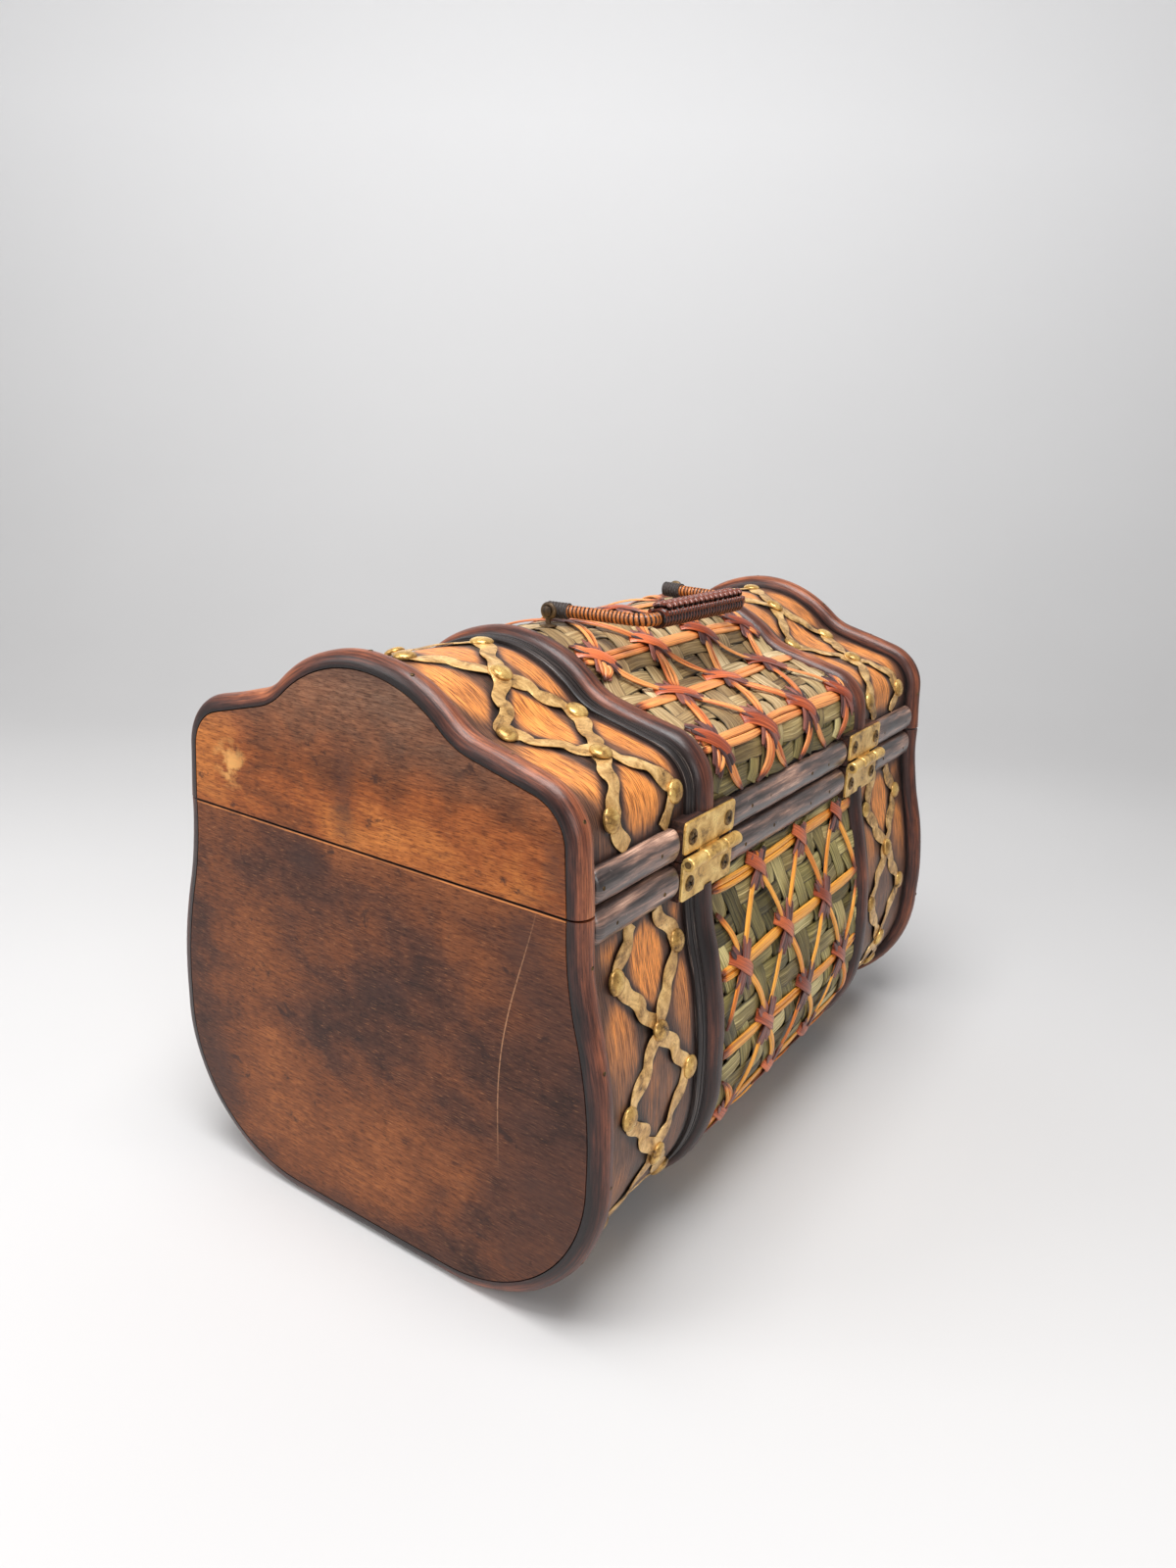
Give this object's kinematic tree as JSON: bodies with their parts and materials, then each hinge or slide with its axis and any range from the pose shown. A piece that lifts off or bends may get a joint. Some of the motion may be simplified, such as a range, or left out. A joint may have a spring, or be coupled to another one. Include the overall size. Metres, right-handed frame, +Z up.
{
  "type": "treasure chest",
  "caption": "Domed wooden chest with bent plywood sides, half-round mouldings, brass straps and tacks, woven mat under a cane lattice, butt hinges, hook latch and cane handle",
  "frame": {"origin": "Middle of the footprint, on the surface that the chest stands on.", "axes": "+X along the chest, +Y towards the hinges at the back, +Z up."},
  "size_m": [0.32, 0.212, 0.2366],
  "materials": {
    "panel_wood": "stained plywood, mottled dark red-brown, satin",
    "bay_wood": "stained bent plywood, orange-brown with burnt shading, satin",
    "moulding_wood": "dark stained half-round with worn red-brown crests, satin",
    "rail_wood": "near-black stained rods with red-brown wear, satin",
    "hinge_brass": "dull yellow brass",
    "screw_brass": "dark tarnished brass",
    "strap_brass": "antique brass, hammered",
    "seagrass": "woven olive-green seagrass strip",
    "split_cane": "stained orange split cane",
    "dark_cane": "stained red-brown split cane",
    "handle_cane": "golden-brown wrapped cane",
    "black_binding": "black bound cord"
  },
  "bodies": {
    "chest_body": {"body_shell": "bay_wood", "body_end_panel_right": "panel_wood", "body_end_panel_left": "panel_wood", "body_end_moulding_right": "moulding_wood", "body_end_moulding_left": "moulding_wood", "body_ribs": "moulding_wood", "body_rails_back": "rail_wood", "body_rails_front": "rail_wood", "body_hinge_pads": "rail_wood", "body_latch_pad": "rail_wood", "body_hinge_leaves": "hinge_brass", "body_hinge_screws": "screw_brass", "body_latch_plate": "hinge_brass", "body_latch_screws": "screw_brass", "body_straps_right": "strap_brass", "body_straps_left": "strap_brass", "body_tacks_right": "strap_brass", "body_tacks_left": "strap_brass", "body_mat_back": "seagrass", "body_mat_front": "seagrass", "body_lattice_back": "split_cane", "body_lattice_front": "split_cane", "body_lattice_ties": "dark_cane", "hinge_pins": "hinge_brass"},
    "lid": {"lid_shell": "bay_wood", "lid_end_panel_right": "panel_wood", "lid_end_panel_left": "panel_wood", "lid_end_moulding_right": "moulding_wood", "lid_end_moulding_left": "moulding_wood", "lid_ribs": "moulding_wood", "lid_rails_back": "rail_wood", "lid_rails_front": "rail_wood", "lid_hinge_pads": "rail_wood", "lid_latch_pad": "rail_wood", "lid_hinge_leaves": "hinge_brass", "lid_hinge_screws": "screw_brass", "lid_latch_plate": "hinge_brass", "lid_latch_screws": "screw_brass", "lid_straps_right": "strap_brass", "lid_straps_left": "strap_brass", "lid_tacks_right": "strap_brass", "lid_tacks_left": "strap_brass", "lid_mat": "seagrass", "lid_lattice": "split_cane", "lid_lattice_ties": "dark_cane", "handle_eyes": "strap_brass"},
    "handle": {"handle_bail": "handle_cane", "handle_grip_wrap": "dark_cane", "handle_bindings": "black_binding", "handle_pins": "strap_brass"},
    "hook": {"latch_hook": "hinge_brass"}
  },
  "joints": [
    {"name": "lid_hinge", "type": "hinge", "parent": "chest_body", "child": "lid", "pos_m": [0, 0.0952, 0.1596], "axis": [-1, 0, 0], "range_deg": [0, 105]},
    {"name": "handle_swing", "type": "hinge", "parent": "lid", "child": "handle", "pos_m": [0, 0, 0.2323], "axis": [1, 0, 0], "range_deg": [-2, 182]},
    {"name": "hook_swing", "type": "hinge", "parent": "chest_body", "child": "hook", "pos_m": [0, -0.0979, 0.1521], "axis": [0, -1, 0], "range_deg": [0, 180]}
  ]
}
